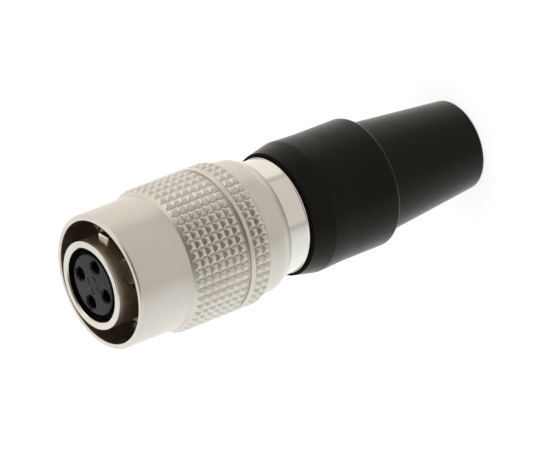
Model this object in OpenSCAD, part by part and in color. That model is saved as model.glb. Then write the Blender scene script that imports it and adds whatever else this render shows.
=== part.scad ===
// Push pull circular connector: a four contact cable plug that stands on the flat end of its boot.
// The plug's axis is Z. The mating face looks up, and z = 0 is the flat end of the boot.

/* [Boot] */
// Length of the tapered tail
tail_l = 9.0; // [6:0.1:14]
// Diameter of the tail at its free end
tail_end_d = 6.9; // [6.6:0.1:7.8]
// Diameter of the tail where it leaves the boot's body
tail_root_d = 8.7; // [8:0.05:9.2]
// Length of the boot's body
boot_l = 8.3; // [7.9:0.1:10]
// Largest diameter of the boot
boot_d = 10.15; // [10:0.05:11.2]
// Diameter of the boot's waist
boot_waist_d = 9.95; // [9.9:0.05:11]
// Diameter of the boot's front face
boot_face_d = 9.4; // [9.3:0.05:9.9]
// Length of the flare behind the front face
boot_flare_l = 1.9; // [1:0.1:2.2]
// Radius of the boot's rear shoulder
boot_shoulder_r = 1.2; // [0.6:0.1:1.3]
// Rounding of the boot's sharp edges
boot_edge_r = 0.3; // [0.1:0.05:0.4]
// Diameter of the cable hole
cable_hole_d = 4.4; // [4:0.1:4.6]

/* [Sleeve] */
// Length of body that shows between boot and sleeve
show_l = 2.0; // [1.7:0.1:3]
// How far the sleeve can be pulled back
sleeve_travel = 1.5; // [1:0.1:1.6]
// Length of the plain front of the sleeve
front_l = 4.85; // [4.4:0.05:6]
// Outer diameter of the plain front
front_d = 10.2; // [10.15:0.05:10.4]
// Diameter of the mouth
mouth_d = 9.35; // [9.3:0.05:9.4]
// Outer rounding of the front lip
lip_r = 0.28; // [0.1:0.02:0.34]
// Length of the plain band behind the knurl
plain_l = 1.05; // [0.6:0.05:1.5]
// Diameter of the plain band behind the knurl
plain_d = 10.3; // [10.2:0.05:10.6]
// Length of the rear shoulder
shoulder_l = 1.3; // [1:0.05:1.8]
// Rounding of the rear shoulder
shoulder_r = 1.0; // [0.5:0.1:1.4]
// Slope of the rear shoulder against the axis
shoulder_a = 25; // [15:1:35]
// Diameter of the sleeve's rear end
sleeve_end_d = 9.45; // [9.35:0.05:9.6]

/* [Knurl] */
// Diameter over the knurl
knurl_d = 11.0; // [10.9:0.05:11.4]
// Depth of the knurl's grooves
knurl_depth = 0.2; // [0.1:0.01:0.22]
// Pads round the sleeve
knurl_count = 46; // [36:1:54]
// Distance from one row of pads to the next
knurl_pitch = 0.67; // [0.6:0.01:0.75]
// Rows of pads in front of the rib
front_rows = 7; // [6:1:8]
// Rows of pads behind the rib
rear_rows = 2; // [1:1:2]
// Share of the pitch that a pad's flat top takes
pad_share = 0.42; // [0.2:0.01:0.6]
// Width of the plain rib between the two knurled bands
rib_w = 0.42; // [0.2:0.01:0.6]
// Width of the plain groove beside each band
groove_w = 0.12; // [0.05:0.01:0.2]

/* [Plug nose] */
// Diameter of the nose
nose_d = 6.7; // [6.6:0.02:6.9]
// Bore of the nose
nose_bore_d = 5.62; // [5.5:0.02:5.7]
// How far the nose stands out of the sleeve
nose_proud = 0.75; // [0:0.05:1.5]
// How far the contact block's face lies behind the nose
block_recess = 0.2; // [0.05:0.05:1]
// Height of the guide keys
key_h = 0.37; // [0.2:0.01:0.45]
// Distance from the nose's face to the keys
key_set_back = 1.2; // [0.6:0.1:2]
// Width of the main key
main_key_w = 1.9; // [1.4:0.05:2.2]
// Width of the second key
second_key_w = 1.15; // [0.8:0.05:1.4]
// Angle of the main key
main_key_a = -90; // [-100:1:-80]
// Angle from the main key to the second key
second_key_a = 55; // [45:1:70]
// Diameter of the raised face of the contact block
boss_d = 4.9; // [4.8:0.05:5.1]
// How far the raised face stands out of the block
boss_h = 0.55; // [0.2:0.05:0.8]

/* [Contacts] */
// Distance between neighbouring contacts
contact_pitch = 2.2; // [2.1:0.02:2.3]
// Outer diameter of a socket contact
contact_d = 1.3; // [1.2:0.02:1.36]
// Bore of a socket contact
socket_d = 0.8; // [0.7:0.02:0.84]
// Depth of the socket's bore
socket_l = 5.0; // [4:0.1:6]
// Contact hole in the block's face
entry_d = 0.96; // [0.9:0.02:1.04]
// Diameter of a contact's collar
collar_d = 1.7; // [1.6:0.02:1.76]
// Length of a solder cup
cup_l = 2.6; // [2:0.1:3]

/* [Fits] */
// Radial gap of the sliding fits
run_gap = 0.05; // [0.03:0.01:0.06]
// Radial gap of parts that are pushed into each other
push_gap = 0.02; // [0.01:0.005:0.03]

/* [Return spring] */
// Wire of the return spring
wire_d = 0.4; // [0.34:0.02:0.42]
// Turns of the return spring
spring_turns = 4; // [3:0.5:4]

/* [Hidden] */
$fn = 96;
over = 0.01;            // cutters run this far past the faces that they cut

// Stations along the axis, from the boot to the nose
boot_front_z = tail_l + boot_l;
sleeve_rear_z = boot_front_z + show_l;
shoulder_z = sleeve_rear_z + shoulder_l;
rear_band_z = shoulder_z + plain_l;
rear_band_l = rear_rows * knurl_pitch;
rib_z = rear_band_z + rear_band_l + groove_w;
front_band_z = rib_z + rib_w + groove_w;
front_band_l = front_rows * knurl_pitch;
front_z = front_band_z + front_band_l;
rim_z = front_z + front_l;
nose_z = rim_z + nose_proud;

// Radii of the sleeve and of what it slides on
mouth_r = mouth_d / 2;
body_r = sleeve_end_d / 2 - 0.3;            // the bright body
rear_bore_r = body_r + run_gap;             // the sleeve's rear bore
tube_r = body_r - 0.3;                      // the body's front tube
ledge_bore_r = tube_r + run_gap;
flange_r = mouth_r - run_gap;               // the plug shell's guide flange
valley_r = knurl_d / 2 - knurl_depth;
core_r = front_d / 2;                       // the sleeve under the knurled bands

// Inside the sleeve, from its ledge
stop_w = 0.3;
stop_gap = 0.35;                            // from the stop ring to the flange
flange_w = 1.0;
flange_depth = 6.4;                         // from the sleeve's rim to the flange's face
flange_z = rim_z - flange_depth - flange_w;
stop_z = flange_z - stop_gap - stop_w;
ledge_w = 1.0;
ledge_z = stop_z - ledge_w;
seat_w = 0.25;
body_shoulder_z = sleeve_rear_z + 1.0;      // the spring's seat on the body
chamber_z = body_shoulder_z - 0.15;         // rear end of the spring's chamber
chamber_r = mouth_r + 0.05;
spring_z = body_shoulder_z + seat_w;
spring_l = ledge_z - spring_z;
spring_r = (tube_r + chamber_r) / 2;

// Inside the plug shell
shell_spigot_r = tube_r - 0.55;
shell_spigot_l = 4.4;
shell_end_z = flange_z - shell_spigot_l;
block_r = nose_bore_d / 2 - push_gap;
collar_bore_r = nose_bore_d / 2 + 0.3;      // the wider rear bore of the shell
collar_step_z = shell_end_z + 2.2;
block_face_z = nose_z - block_recess;
clip_w = 0.25;
rear_insulator_z = shell_end_z + clip_w;
split_z = collar_step_z - 0.8;              // where the two insulators meet

// The contacts
contact_tip_z = block_face_z - 0.6;
collar_z = split_z - 0.4;
collar_w = 0.4;
cup_z = shell_end_z - cup_l;
cup_r = 0.5;

// The cable clamp in the boot
cable_r = cable_hole_d / 2;
spigot_r = body_r - 0.5;                    // the body's rear spigot
gland_r = spigot_r - 0.5;                   // bore of the rear spigot
nut_r = body_r + 0.1;
nut_z = tail_l + 0.4;
nut_floor = 0.7;
nut_cone_l = 1.3;
collet_z = nut_z + nut_floor;
spigot_z = collet_z + nut_cone_l;
lip_l = 0.9;                                // length of the boot's front lip
nut_end_z = boot_front_z - lip_l;
collet_l = 3.2;
washer_w = 0.3;
gasket_l = 1.6;
shield_w = 0.7;
washer_z = collet_z + collet_l;
gasket_z = washer_z + washer_w;
shield_z = gasket_z + gasket_l;
gland_end_z = shield_z + shield_w;
gland_hole_r = cable_r + 0.45;            // the clamp's pieces leave the cable this much room
body_bore_r = gland_hole_r + 0.4;

// A turned ring about the axis
module ring(r_out, r_in, z, h) {
    translate([0, 0, z]) difference() {
        cylinder(r = r_out, h = h);
        translate([0, 0, -over]) cylinder(r = r_in, h = h + 2 * over);
    }
}

// The points of a quarter round from angle a0 to a1 about [x, y]
function arc(x, y, r, a0, a1, n = 8) =
    [for (i = [0 : n]) let (a = a0 + (a1 - a0) * i / n) [x + r * cos(a), y + r * sin(a)]];

// A band of square pads: flat tops with sloping sides that meet in the grooves
module knurl_band(z, rows) {
    n = knurl_count;
    root_r = core_r - 0.1;
    lo = (1 - pad_share) / 2;
    hi = 1 - lo;
    function at(r, j, h) = [r * cos(360 * j / n), r * sin(360 * j / n), h];
    valleys = [for (k = [0 : rows]) for (j = [0 : n - 1]) at(valley_r, j, z + k * knurl_pitch)];
    tops = [for (k = [0 : rows - 1]) for (j = [0 : n - 1]) for (c = [[lo, lo], [hi, lo], [hi, hi], [lo, hi]])
        at(knurl_d / 2, j + c[0], z + (k + c[1]) * knurl_pitch)];
    roots = [for (h = [z, z + rows * knurl_pitch]) for (j = [0 : n - 1]) at(root_r, j, h)];
    top0 = len(valleys);
    root0 = top0 + len(tops);
    last = rows * n;
    skin = [for (k = [0 : rows - 1]) for (j = [0 : n - 1])
        let (a = k * n + j, b = k * n + (j + 1) % n, t = top0 + 4 * (k * n + j))
        each [[a, t, t + 1, b], [b, t + 1, t + 2, b + n], [b + n, t + 2, t + 3, a + n],
              [a + n, t + 3, t, a], [t, t + 3, t + 2, t + 1]]];
    ends = [for (j = [0 : n - 1]) let (j2 = (j + 1) % n, a = root0 + j, b = root0 + j2)
        each [[j, j2, b, a], [a + n, b + n, last + j2, last + j], [a, b, b + n, a + n]]];
    polyhedron(concat(valleys, tops, roots), concat(skin, ends), convexity = 6);
}

module coupling_sleeve() {
    sink = 0.03;                // the bands' ends are sunk this far into the plain parts beside them
    groove_r = valley_r - 0.05;
    color("gainsboro") {
        rotate_extrude() polygon(concat(
            // outside, from the rear end to the mouth
            [[rear_bore_r, sleeve_rear_z], [sleeve_end_d / 2 - 0.08, sleeve_rear_z],
             [sleeve_end_d / 2, sleeve_rear_z + 0.08]],
            arc(plain_d / 2 - shoulder_r, shoulder_z, shoulder_r, -shoulder_a, 0, 5),
            [[plain_d / 2, rear_band_z + sink], [core_r, rear_band_z + sink],
             [core_r, rib_z - groove_w - sink], [groove_r, rib_z - groove_w - sink],
             [groove_r, rib_z], [knurl_d / 2 - 0.08, rib_z],
             [knurl_d / 2, rib_z + 0.08], [knurl_d / 2, rib_z + rib_w - 0.08],
             [knurl_d / 2 - 0.08, rib_z + rib_w], [groove_r, rib_z + rib_w],
             [groove_r, front_band_z + sink], [core_r, front_band_z + sink]],
            arc(front_d / 2 - lip_r, rim_z - lip_r, lip_r, 0, 90, 6),
            // inside, from the mouth to the rear end
            [[mouth_r + 0.06, rim_z], [mouth_r, rim_z - 0.06],
             [mouth_r, stop_z], [ledge_bore_r, stop_z], [ledge_bore_r, ledge_z],
             [chamber_r, ledge_z], [chamber_r, chamber_z], [rear_bore_r, chamber_z]]));
        knurl_band(rear_band_z, rear_rows);
        knurl_band(front_band_z, front_rows);
    }
}

// A key along the nose, with a rounded front end
module nose_key(w, a) {
    key_l = nose_z - key_set_back - flange_z - flange_w;
    rotate(a) difference() {
        translate([0, -w / 2, flange_z + flange_w - 0.1]) cube([nose_d / 2 + key_h, w, key_l + 0.1]);
        translate([0, 0, flange_z]) cylinder(r = nose_d / 2 - 0.1, h = nose_z - flange_z);
        translate([nose_d / 2 + key_h, 0, nose_z - key_set_back]) rotate([0, 45, 0])
            cube([0.3, w + 1, 0.3], center = true);
    }
}

module plug_shell() {
    edge = 0.12;
    color("silver") {
        rotate_extrude() polygon([
            [shell_spigot_r - 0.1, shell_end_z], [shell_spigot_r, shell_end_z + 0.1],
            [shell_spigot_r, flange_z], [flange_r, flange_z], [flange_r, flange_z + flange_w],
            [nose_d / 2, flange_z + flange_w], [nose_d / 2, nose_z - edge / 2],
            [nose_d / 2 - edge / 2, nose_z], [nose_bore_d / 2 + edge, nose_z],
            [nose_bore_d / 2, nose_z - edge], [nose_bore_d / 2, collar_step_z],
            [collar_bore_r, collar_step_z], [collar_bore_r, shell_end_z]]);
        nose_key(main_key_w, main_key_a);
        nose_key(second_key_w, main_key_a + second_key_a);
    }
}

// What follows is repeated at the four contact places
module at_contact(i) {
    a = 45 + 90 * i;
    translate([contact_pitch / sqrt(2) * cos(a), contact_pitch / sqrt(2) * sin(a), 0]) children();
}

module contact_block() {
    color("dimgray") difference() {
        rotate_extrude() polygon([[0, split_z], [collar_bore_r - push_gap, split_z],
            [collar_bore_r - push_gap, collar_step_z], [block_r, collar_step_z],
            [block_r, block_face_z - boss_h], [boss_d / 2, block_face_z - boss_h],
            [boss_d / 2, block_face_z - 0.1], [boss_d / 2 - 0.1, block_face_z], [0, block_face_z]]);
        for (i = [0 : 3]) at_contact(i) {
            translate([0, 0, split_z - over]) cylinder(d = contact_d + 2 * push_gap,
                                                       h = contact_tip_z - split_z + 2 * over, $fn = 32);
            translate([0, 0, contact_tip_z]) cylinder(d = entry_d, h = 1, $fn = 32);
        }
    }
}

module rear_insulator() {
    color("dimgray") difference() {
        translate([0, 0, rear_insulator_z])
            cylinder(r = collar_bore_r - push_gap, h = split_z - rear_insulator_z);
        for (i = [0 : 3]) at_contact(i) {
            translate([0, 0, rear_insulator_z - over])
                cylinder(d = contact_d + 2 * push_gap, h = split_z - rear_insulator_z + 1, $fn = 32);
            translate([0, 0, collar_z]) cylinder(d = collar_d + 2 * push_gap, h = collar_w + 1, $fn = 32);
        }
    }
}

// An open spring ring that holds the two insulators in the shell
module insulator_clip() {
    color("silver") difference() {
        ring(collar_bore_r, collar_bore_r - 0.45, shell_end_z, clip_w);
        translate([0, -0.5, shell_end_z - 1]) cube([collar_bore_r + 1, 1, clip_w + 2]);
    }
}

// Contact i: a slotted socket in front, a collar, and a solder cup behind
module contact(i) {
    slot_w = 0.14;
    color("gold") at_contact(i) difference() {
        union() {
            translate([0, 0, cup_z]) cylinder(d = contact_d, h = contact_tip_z - cup_z, $fn = 32);
            translate([0, 0, collar_z]) cylinder(d = collar_d, h = collar_w, $fn = 32);
        }
        translate([0, 0, contact_tip_z - socket_l]) cylinder(d = socket_d, h = socket_l + 1, $fn = 32);
        translate([-slot_w / 2, -1, contact_tip_z - 0.6 * socket_l]) cube([slot_w, 2, socket_l]);
        translate([0, 0, cup_z - 1]) cylinder(r = cup_r, h = 0.8 * cup_l + 1, $fn = 32);
        rotate(45 + 90 * i) translate([0, -1, cup_z - 1]) cube([1, 2, 0.6 * cup_l + 1]);
    }
}
module contact_1() { contact(0); }
module contact_2() { contact(1); }
module contact_3() { contact(2); }
module contact_4() { contact(3); }

// A ring on the shell's flange with three claws along the inside of the sleeve
module lock_spring() {
    ring_w = 0.25;
    claw_l = 3.0;
    claw_t = 0.18;
    claw_a = 24;                // each claw takes this part of the circle
    base_z = flange_z + flange_w;
    r_out = flange_r - 0.05;
    far = 2 * r_out;
    gap_a = 120 - claw_a;
    color("silver") difference() {
        rotate_extrude() polygon([
            [nose_d / 2 + push_gap, base_z], [r_out, base_z], [r_out, base_z + claw_l],
            [r_out - 3 * claw_t, base_z + claw_l], [r_out - 3 * claw_t, base_z + claw_l - claw_t],
            [r_out - claw_t, base_z + claw_l - claw_t], [r_out - claw_t, base_z + ring_w],
            [nose_d / 2 + push_gap, base_z + ring_w]]);
        // the gaps between the claws
        for (i = [0 : 2]) rotate(90 + 120 * i) translate([0, 0, base_z + ring_w]) linear_extrude(claw_l)
            polygon([[0, 0], for (k = [0 : 4]) let (a = gap_a * (k / 4 - 0.5)) [far * cos(a), far * sin(a)]]);
        // room for the keys
        for (key = [[main_key_w, main_key_a], [second_key_w, main_key_a + second_key_a]])
            rotate(key[1]) translate([0, -key[0] / 2 - push_gap, base_z - 1])
                cube([nose_d / 2 + key_h + push_gap, key[0] + 2 * push_gap, 1 + ring_w / 2 + 1]);
    }
}

// An open snap ring in the body's groove
module stop_ring() {
    color("silver") difference() {
        ring(flange_r - 0.05, tube_r - 0.2, stop_z, stop_w);
        translate([0, -0.8, stop_z - 1]) cube([flange_r + 1, 1.6, stop_w + 2]);
    }
}

// A round wire wound on a helix, with its ends cut flat by the two seats
module return_spring() {
    steps = 22;
    sides = 8;
    n = ceil(spring_turns * steps);
    wire_r = wire_d / 2;
    rise = spring_l - wire_d;
    points = [for (i = [0 : n]) for (s = [0 : sides - 1])
        let (a = 360 * spring_turns * i / n, b = 360 * (s + 0.5) / sides,
             r = spring_r + wire_r * cos(b), z = spring_z + wire_r + rise * i / n + wire_r * sin(b))
        [r * cos(a), r * sin(a), z]];
    walls = [for (i = [0 : n - 1]) for (s = [0 : sides - 1])
        let (s2 = (s + 1) % sides)
        [i * sides + s, i * sides + s2, (i + 1) * sides + s2, (i + 1) * sides + s]];
    color("silver") polyhedron(points, concat(walls,
        [[for (s = [sides - 1 : -1 : 0]) s], [for (s = [0 : sides - 1]) n * sides + s]]), convexity = 8);
}

module spring_seat() {
    color("silver") ring(chamber_r - 0.15, tube_r + push_gap, body_shoulder_z, seat_w);
}

module rear_body() {
    bead = 0.12;
    color("silver") difference() {
        rotate_extrude() polygon([
            [gland_r, spigot_z], [spigot_r - 0.15, spigot_z], [spigot_r, spigot_z + 0.15],
            [spigot_r, nut_end_z], [body_r, nut_end_z], [body_r, boot_front_z],
            [body_r, body_shoulder_z], [tube_r, body_shoulder_z], [tube_r, flange_z],
            [shell_spigot_r, flange_z], [shell_spigot_r, shell_end_z - bead],
            [body_bore_r, shell_end_z - bead], [body_bore_r, gland_end_z], [gland_r, gland_end_z]]);
        // the stop ring's groove
        ring(tube_r + 1, tube_r - 0.2, stop_z, stop_w);
    }
}

module shield_ring() { color("silver") ring(gland_r - push_gap, gland_hole_r, shield_z, shield_w); }
module cable_gasket() {
    color("black") translate([0, 0, gasket_z]) rotate_extrude() polygon([
        [gland_hole_r + 0.15, 0], [gland_r - push_gap, 0], [gland_r - push_gap, gasket_l],
        [gland_hole_r + 0.15, gasket_l], [gland_hole_r, gasket_l / 2]]);
}
module thrust_washer() { color("silver") ring(gland_r - push_gap, gland_hole_r, washer_z, washer_w); }

// A split cone that the nut pushes in and closes on the cable
module clamp_collet() {
    slot_w = 0.5;
    color("silver") difference() {
        rotate_extrude() polygon([
            [gland_hole_r, collet_z], [gland_hole_r + 0.25, collet_z],
            [gland_r - push_gap, spigot_z], [gland_r - push_gap, washer_z], [gland_hole_r, washer_z]]);
        for (i = [0 : 2]) rotate(60 * i) translate([-gland_r, -slot_w / 2, collet_z - over])
            cube([2 * gland_r, slot_w, 0.75 * collet_l]);
    }
}

module clamp_nut() {
    color("silver") difference() {
        rotate_extrude() polygon([
            [gland_hole_r + 0.05, nut_z], [nut_r - 0.2, nut_z], [nut_r, nut_z + 0.2], [nut_r, nut_end_z],
            [spigot_r, nut_end_z], [spigot_r, spigot_z], [gland_r, spigot_z],
            [gland_hole_r + 0.27, collet_z], [gland_hole_r + 0.05, collet_z]]);
        // spanner flats at the nut's rear end
        for (s = [-1, 1]) translate([s * (nut_r + 1 - 0.3), 0, nut_z]) cube([2, 2 * nut_r, 4], center = true);
    }
}

// One moulding: a tapered tail, a round shoulder, a body with a waist, and a flared front lip
module cable_boot() {
    tail_end_r = tail_end_d / 2;
    color([0.1, 0.1, 0.09]) difference() {
        rotate_extrude() polygon(concat(
            [[cable_r, 0]],
            arc(tail_end_r - boot_edge_r, boot_edge_r, boot_edge_r, -90, 0, 5),
            [[tail_root_d / 2, tail_l]],
            arc(boot_waist_d / 2 - boot_shoulder_r, tail_l + boot_shoulder_r, boot_shoulder_r, -75, 0, 7),
            [[boot_waist_d / 2, tail_l + 0.5 * boot_l],
             [boot_d / 2, boot_front_z - boot_flare_l - 0.5], [boot_d / 2, boot_front_z - boot_flare_l],
             [boot_face_d / 2 + 0.1, boot_front_z - 0.15], [boot_face_d / 2, boot_front_z],
             [body_r, boot_front_z], [body_r, nut_end_z], [nut_r, nut_end_z], [nut_r, nut_z],
             [cable_r, nut_z]]));
    }
}

coupling_sleeve();
plug_shell();
contact_block();
rear_insulator();
insulator_clip();
contact_1();
contact_2();
contact_3();
contact_4();
lock_spring();
stop_ring();
return_spring();
spring_seat();
rear_body();
shield_ring();
cable_gasket();
thrust_washer();
clamp_collet();
clamp_nut();
cable_boot();
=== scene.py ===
"""Looks of a push pull circular connector: a knurled sleeve, a keyed nose, four contacts and a rubber boot.

Sizes are in millimetres and are turned into metres where a mesh is made. The plug stands on the flat end of
its boot, with its axis along Z and its mating face up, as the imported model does.
"""

from __future__ import annotations

import logging
import math
from dataclasses import dataclass, field
from enum import Enum
from typing import Callable, Iterable, Sequence

import bmesh
import bpy
from mathutils import Matrix, Vector

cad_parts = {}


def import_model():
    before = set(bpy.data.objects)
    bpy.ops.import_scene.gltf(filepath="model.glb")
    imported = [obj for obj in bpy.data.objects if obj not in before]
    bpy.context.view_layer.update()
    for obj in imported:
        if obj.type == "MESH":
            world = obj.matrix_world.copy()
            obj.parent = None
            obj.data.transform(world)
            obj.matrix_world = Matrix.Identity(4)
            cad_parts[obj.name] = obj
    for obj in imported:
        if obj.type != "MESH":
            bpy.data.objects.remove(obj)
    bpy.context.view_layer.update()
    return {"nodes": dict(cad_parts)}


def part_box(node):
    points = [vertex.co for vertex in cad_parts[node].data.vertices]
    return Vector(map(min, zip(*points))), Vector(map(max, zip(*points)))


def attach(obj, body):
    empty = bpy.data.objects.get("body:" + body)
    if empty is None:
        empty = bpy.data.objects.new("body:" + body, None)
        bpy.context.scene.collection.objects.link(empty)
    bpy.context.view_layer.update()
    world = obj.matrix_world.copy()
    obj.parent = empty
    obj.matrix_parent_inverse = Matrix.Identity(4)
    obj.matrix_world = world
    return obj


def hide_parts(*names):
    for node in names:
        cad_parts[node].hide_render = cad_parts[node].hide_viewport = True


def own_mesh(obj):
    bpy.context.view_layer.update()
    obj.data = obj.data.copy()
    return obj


LOG = logging.getLogger("connector")
MM = 0.001
NUMBER = "NodeSocketFloat"
HUE = "NodeSocketColor"
TURNED_COLUMNS = 192
SHARP_ANGLE = math.radians(38.0)

Point = tuple[float, float]
Colour = tuple[float, float, float]


class Body(Enum):
    """The two bodies of the part."""

    PLUG = "plug"
    SLEEVE = "sleeve"


class Slot(Enum):
    """The record's material slots."""

    SLEEVE = "sleeve_nickel"
    BRIGHT = "bright_nickel"
    INSULATOR = "insulator"
    GOLD = "gold"
    STEEL = "spring_steel"
    GASKET = "gasket_rubber"
    BOOT = "boot_rubber"


# ---------------------------------------------------------------- shader node groups


def new_group(
    name: str,
    inputs: Sequence[tuple[str, str, float | Sequence[float]]],
    outputs: Sequence[tuple[str, str]],
) -> bpy.types.NodeTree:
    """Makes an empty shader node group with named sockets.

    Args:
        name: The group's name.
        inputs: Each input's name, socket type and default value.
        outputs: Each output's name and socket type.

    Returns:
        The node tree, with its input and output nodes placed.
    """
    tree = bpy.data.node_groups.new(name, "ShaderNodeTree")
    for label, kind, value in inputs:
        socket = tree.interface.new_socket(name=label, in_out="INPUT", socket_type=kind)
        socket.default_value = value
    for label, kind in outputs:
        tree.interface.new_socket(name=label, in_out="OUTPUT", socket_type=kind)
    tree.nodes.new("NodeGroupInput").name = "In"
    tree.nodes.new("NodeGroupOutput").name = "Out"
    return tree


def add(tree: bpy.types.NodeTree, kind: str, **values: object) -> bpy.types.Node:
    """Adds a node and sets its properties.

    Args:
        tree: The tree that the node goes into.
        kind: The node's type, without its ShaderNode prefix.
        **values: Properties of the node.

    Returns:
        The new node.
    """
    node = tree.nodes.new("ShaderNode" + kind)
    for key, value in values.items():
        setattr(node, key, value)
    return node


def grain_group() -> bpy.types.NodeTree:
    """Fine grain: a value that wanders between two limits, and a height to match.

    Returns:
        The group, with Value and Height outputs.
    """
    name = "fine_grain"
    if name in bpy.data.node_groups:
        return bpy.data.node_groups[name]
    tree = new_group(
        name,
        [("Scale", NUMBER, 900.0), ("Low", NUMBER, 0.3), ("High", NUMBER, 0.4), ("Detail", NUMBER, 4.0)],
        [("Value", NUMBER), ("Height", NUMBER)],
    )
    link = tree.links.new
    source, target = tree.nodes["In"], tree.nodes["Out"]
    place = add(tree, "TexCoord")
    noise = add(tree, "TexNoise")
    limits = add(tree, "MapRange")
    limits.inputs["From Min"].default_value = 0.3
    limits.inputs["From Max"].default_value = 0.7
    link(place.outputs["Object"], noise.inputs["Vector"])
    link(source.outputs["Scale"], noise.inputs["Scale"])
    link(source.outputs["Detail"], noise.inputs["Detail"])
    link(noise.outputs["Fac"], limits.inputs["Value"])
    link(source.outputs["Low"], limits.inputs["To Min"])
    link(source.outputs["High"], limits.inputs["To Max"])
    link(limits.outputs["Result"], target.inputs["Value"])
    link(noise.outputs["Fac"], target.inputs["Height"])
    return tree


def turning_group() -> bpy.types.NodeTree:
    """Turning marks: fine rings left by a lathe tool, along the axis or across a face.

    Returns:
        The group, with a Height output.
    """
    name = "turning_marks"
    if name in bpy.data.node_groups:
        return bpy.data.node_groups[name]
    tree = new_group(
        name,
        [("Pitch", NUMBER, 12000.0), ("Across", NUMBER, 0.0), ("Waver", NUMBER, 0.4)],
        [("Height", NUMBER)],
    )
    link = tree.links.new
    source, target = tree.nodes["In"], tree.nodes["Out"]
    place = add(tree, "TexCoord")
    parts = add(tree, "SeparateXYZ")
    flat = add(tree, "CombineXYZ")
    radius = add(tree, "VectorMath", operation="LENGTH")
    choose = add(tree, "Mix")
    phase = add(tree, "Math", operation="MULTIPLY")
    rough = add(tree, "TexNoise", noise_dimensions="1D")
    rough.inputs["Detail"].default_value = 3.0
    link(place.outputs["Object"], parts.inputs[0])
    link(parts.outputs["X"], flat.inputs["X"])
    link(parts.outputs["Y"], flat.inputs["Y"])
    link(flat.outputs[0], radius.inputs[0])
    link(source.outputs["Across"], choose.inputs[0])
    link(parts.outputs["Z"], choose.inputs[2])
    link(radius.outputs["Value"], choose.inputs[3])
    link(choose.outputs[0], phase.inputs[0])
    link(source.outputs["Pitch"], phase.inputs[1])
    link(phase.outputs[0], rough.inputs["W"])
    link(source.outputs["Waver"], rough.inputs["Roughness"])
    rough.inputs["Scale"].default_value = 1.0
    link(rough.outputs["Fac"], target.inputs["Height"])
    return tree


def tint_group() -> bpy.types.NodeTree:
    """A slow drift between two colours, as plating and rubber have over their surface.

    Returns:
        The group, with a Colour output.
    """
    name = "slow_tint"
    if name in bpy.data.node_groups:
        return bpy.data.node_groups[name]
    grey = (0.5, 0.5, 0.5, 1.0)
    tree = new_group(
        name,
        [("Colour A", HUE, grey), ("Colour B", HUE, grey), ("Scale", NUMBER, 200.0)],
        [("Colour", HUE)],
    )
    link = tree.links.new
    source, target = tree.nodes["In"], tree.nodes["Out"]
    place, noise = add(tree, "TexCoord"), add(tree, "TexNoise")
    noise.inputs["Detail"].default_value = 2.0
    spread = add(tree, "MapRange")
    spread.inputs["From Min"].default_value = 0.35
    spread.inputs["From Max"].default_value = 0.65
    mix = add(tree, "Mix", data_type="RGBA")
    link(place.outputs["Object"], noise.inputs["Vector"])
    link(source.outputs["Scale"], noise.inputs["Scale"])
    link(noise.outputs["Fac"], spread.inputs["Value"])
    link(spread.outputs["Result"], mix.inputs[0])
    link(source.outputs["Colour A"], mix.inputs[6])
    link(source.outputs["Colour B"], mix.inputs[7])
    link(mix.outputs[2], target.inputs["Colour"])
    return tree


# ---------------------------------------------------------------- finishes


@dataclass(frozen=True)
class Finish:
    """A surface finish. Each one builds a procedural material once and hands out the same one after that."""

    name: str
    slot: Slot
    colour: Colour
    drift: Colour
    drift_scale: float = 220.0
    metallic: float = 0.0
    rough_low: float = 0.35
    rough_high: float = 0.45
    grain_scale: float = 1500.0
    grain_bump: float = 0.0
    turned_bump: float = 0.0
    turned_across: float = 0.0
    turned_pitch: float = 12000.0
    specular: float = 0.5
    specular_tint: Colour = (1.0, 1.0, 1.0)

    def material(self) -> bpy.types.Material:
        """The finish as a material.

        Returns:
            The material, made on the first call.
        """
        if self.name in bpy.data.materials:
            return bpy.data.materials[self.name]
        made = bpy.data.materials.new(self.name)
        made.use_nodes = True
        tree = made.node_tree
        shader = tree.nodes["Principled BSDF"]
        link = tree.links.new
        shader.inputs["Metallic"].default_value = self.metallic
        shader.inputs["Specular IOR Level"].default_value = self.specular
        shader.inputs["Specular Tint"].default_value = (*self.specular_tint, 1.0)
        tint = add(tree, "Group", node_tree=tint_group())
        tint.inputs["Colour A"].default_value = (*self.colour, 1.0)
        tint.inputs["Colour B"].default_value = (*self.drift, 1.0)
        tint.inputs["Scale"].default_value = self.drift_scale
        link(tint.outputs["Colour"], shader.inputs["Base Color"])
        grain = add(tree, "Group", node_tree=grain_group())
        grain.inputs["Scale"].default_value = self.grain_scale
        grain.inputs["Low"].default_value = self.rough_low
        grain.inputs["High"].default_value = self.rough_high
        link(grain.outputs["Value"], shader.inputs["Roughness"])
        normal: bpy.types.NodeSocket | None = None
        if self.grain_bump > 0.0:
            normal = self._bump(tree, grain.outputs["Height"], self.grain_bump, normal)
        if self.turned_bump > 0.0:
            marks = add(tree, "Group", node_tree=turning_group())
            marks.inputs["Pitch"].default_value = self.turned_pitch
            marks.inputs["Across"].default_value = self.turned_across
            normal = self._bump(tree, marks.outputs["Height"], self.turned_bump, normal)
        if normal is not None:
            link(normal, shader.inputs["Normal"])
        return made

    @staticmethod
    def _bump(
        tree: bpy.types.NodeTree,
        height: bpy.types.NodeSocket,
        depth: float,
        below: bpy.types.NodeSocket | None,
    ) -> bpy.types.NodeSocket:
        """Adds a bump over what lies below it.

        Args:
            tree: The material's node tree.
            height: The socket that holds the height.
            depth: The bump's depth in millimetres.
            below: The normal that the bump is laid over, or None.

        Returns:
            The bumped normal.
        """
        bump = add(tree, "Bump")
        bump.inputs["Strength"].default_value = 1.0
        bump.inputs["Distance"].default_value = depth * MM
        tree.links.new(height, bump.inputs["Height"])
        if below is not None:
            tree.links.new(below, bump.inputs["Normal"])
        return bump.outputs["Normal"]


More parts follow.
